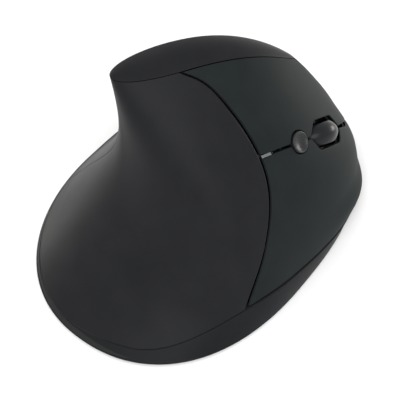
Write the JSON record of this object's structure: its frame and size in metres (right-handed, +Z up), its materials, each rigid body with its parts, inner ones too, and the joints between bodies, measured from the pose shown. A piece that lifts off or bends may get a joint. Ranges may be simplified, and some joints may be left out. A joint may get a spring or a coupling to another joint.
{
  "type": "vertical ergonomic mouse",
  "caption": "Upright twisted computer mouse held in a handshake grip: moulded palm and thumb shells, curved main buttons, scroll wheel, speed and thumb buttons, battery bay and receiver.",
  "frame": {"origin": "middle of the footprint's box, on the desk plane", "axes": "+Y towards the nose and the main buttons' tips, +X towards the palm side, +Z up from the desk"},
  "size_m": [0.0956, 0.1212, 0.0692],
  "materials": {
    "body_plastic": "fine matt moulded black plastic with a soft-touch coat",
    "button_plastic": "fine matt moulded black plastic, a touch smoother than the body",
    "wheel_rubber": "smooth satin rubber",
    "dark_plastic": "plain black moulding",
    "silver_strip": "silver-grey light guide",
    "light_lens": "clear moulding, drawn solid",
    "circuit_board": "green solder mask",
    "steel": "plain bright steel",
    "cell_wrap": "plain wrapped cell",
    "foot_plastic": "slick low-friction pad"
  },
  "bodies": {
    "body": {"base_shell": "body_plastic", "palm_panel": "body_plastic", "thumb_shell": "body_plastic", "ridge_cap": "body_plastic", "indicator_strip": "silver_strip", "indicator_led": "light_lens", "button_frame": "dark_plastic", "button_board": "circuit_board", "left_switch": "dark_plastic", "right_switch": "dark_plastic", "wheel_switch": "dark_plastic", "speed_switch": "dark_plastic", "thumb_board": "circuit_board", "thumb_switches": "dark_plastic", "main_board": "circuit_board", "sensor_chip": "dark_plastic", "sensor_lens": "light_lens", "battery_cells": "cell_wrap", "battery_contacts": "steel", "power_switch": "steel", "feet": "foot_plastic", "screws": "steel"},
    "left_button": {"left_button": "button_plastic"},
    "right_button": {"right_button": "button_plastic"},
    "wheel_rocker": {"wheel_rocker": "dark_plastic", "wheel_encoder": "steel"},
    "scroll_wheel": {"wheel_hub": "dark_plastic", "wheel_tyre": "wheel_rubber", "wheel_axle": "steel"},
    "speed_button": {"speed_button": "dark_plastic"},
    "forward_button": {"forward_button": "button_plastic"},
    "back_button": {"back_button": "button_plastic"},
    "power_slider": {"power_slider": "dark_plastic"},
    "battery_door": {"battery_door": "body_plastic"},
    "receiver": {"receiver_grip": "dark_plastic", "receiver_plug": "steel"}
  },
  "joints": [
    {"name": "left_button_press", "type": "hinge", "parent": "body", "child": "left_button", "pos_m": [0.00666, 0.00632, 0.05275], "axis": [-0.7314, -0.222, 0.6448], "range_deg": [0, 0.8], "stiffness_Nm_per_rad": 0.6, "springref_deg": -2.01},
    {"name": "right_button_press", "type": "hinge", "parent": "body", "child": "right_button", "pos_m": [0.0307, 0.00027, 0.02585], "axis": [-0.4778, 0.573, 0.6659], "range_deg": [0, 0.8], "stiffness_Nm_per_rad": 0.6, "springref_deg": -2.01},
    {"name": "wheel_press", "type": "hinge", "parent": "body", "child": "wheel_rocker", "pos_m": [0.01807, 0.02536, 0.03741], "axis": [-0.7635, 0.1922, 0.6165], "range_deg": [0, 2], "stiffness_Nm_per_rad": 0.3, "springref_deg": -2.01},
    {"name": "wheel_turn", "type": "hinge", "parent": "wheel_rocker", "child": "scroll_wheel", "pos_m": [0.01574, 0.03447, 0.03169], "axis": [-0.7635, 0.1922, 0.6165], "continuous": true},
    {"name": "speed_press", "type": "slide", "parent": "body", "child": "speed_button", "axis": [-0.6101, -0.5275, -0.5912], "range_m": [0, 0.0004], "stiffness_N_per_m": 600, "springref_m": -0.001},
    {"name": "forward_press", "type": "slide", "parent": "body", "child": "forward_button", "axis": [0.9233, -0.1621, -0.3481], "range_m": [0, 0.0004], "stiffness_N_per_m": 600, "springref_m": -0.001},
    {"name": "back_press", "type": "slide", "parent": "body", "child": "back_button", "axis": [0.9233, -0.1621, -0.3481], "range_m": [0, 0.0004], "stiffness_N_per_m": 600, "springref_m": -0.001},
    {"name": "power_slide", "type": "slide", "parent": "body", "child": "power_slider", "axis": [0.9763, 0.2164, 0], "range_m": [0, 0.002]},
    {"name": "door_swing", "type": "hinge", "parent": "body", "child": "battery_door", "pos_m": [0.00798, -0.02445, 0.0016], "axis": [-0.9763, -0.2164, 0], "range_deg": [0, 85]},
    {"name": "receiver_pull", "type": "slide", "parent": "body", "child": "receiver", "axis": [0, 0, -1], "range_m": [0, 0.008]}
  ]
}
